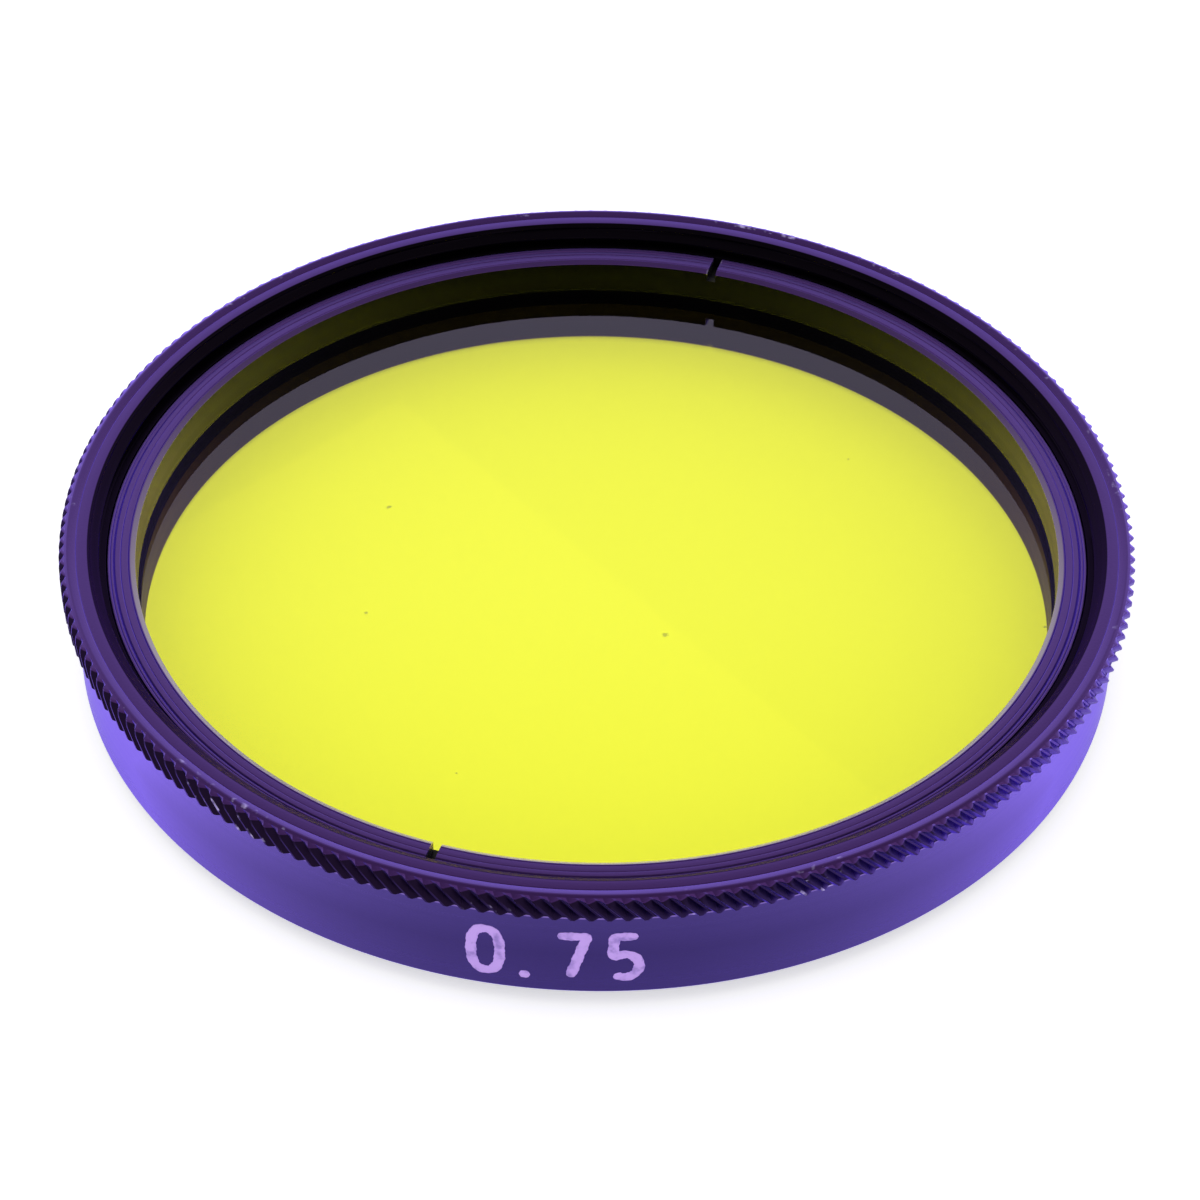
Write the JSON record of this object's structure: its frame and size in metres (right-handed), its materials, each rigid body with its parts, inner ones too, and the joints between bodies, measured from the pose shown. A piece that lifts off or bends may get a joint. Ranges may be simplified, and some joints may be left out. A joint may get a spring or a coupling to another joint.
{
  "type": "colour lens filter",
  "caption": "Round screw-in camera lens filter: yellow glass held in a violet anodised ring with a knurled rim by a slotted retaining ring.",
  "frame": {"origin": "on the optical axis, at the rest plane under the rear thread", "axes": "+Z along the optical axis, from the rear thread towards the knurled front rim; the size number on the band faces -Y"},
  "size_m": [0.052, 0.052, 0.0073],
  "materials": {
    "violet_anodised": "satin anodised, turned",
    "violet_anodised_face": "turned, anodised",
    "yellow_glass": "polished"
  },
  "bodies": {
    "root": {"mount_ring": "violet_anodised", "retaining_ring": "violet_anodised_face", "filter_glass": "yellow_glass"}
  },
  "joints": []
}
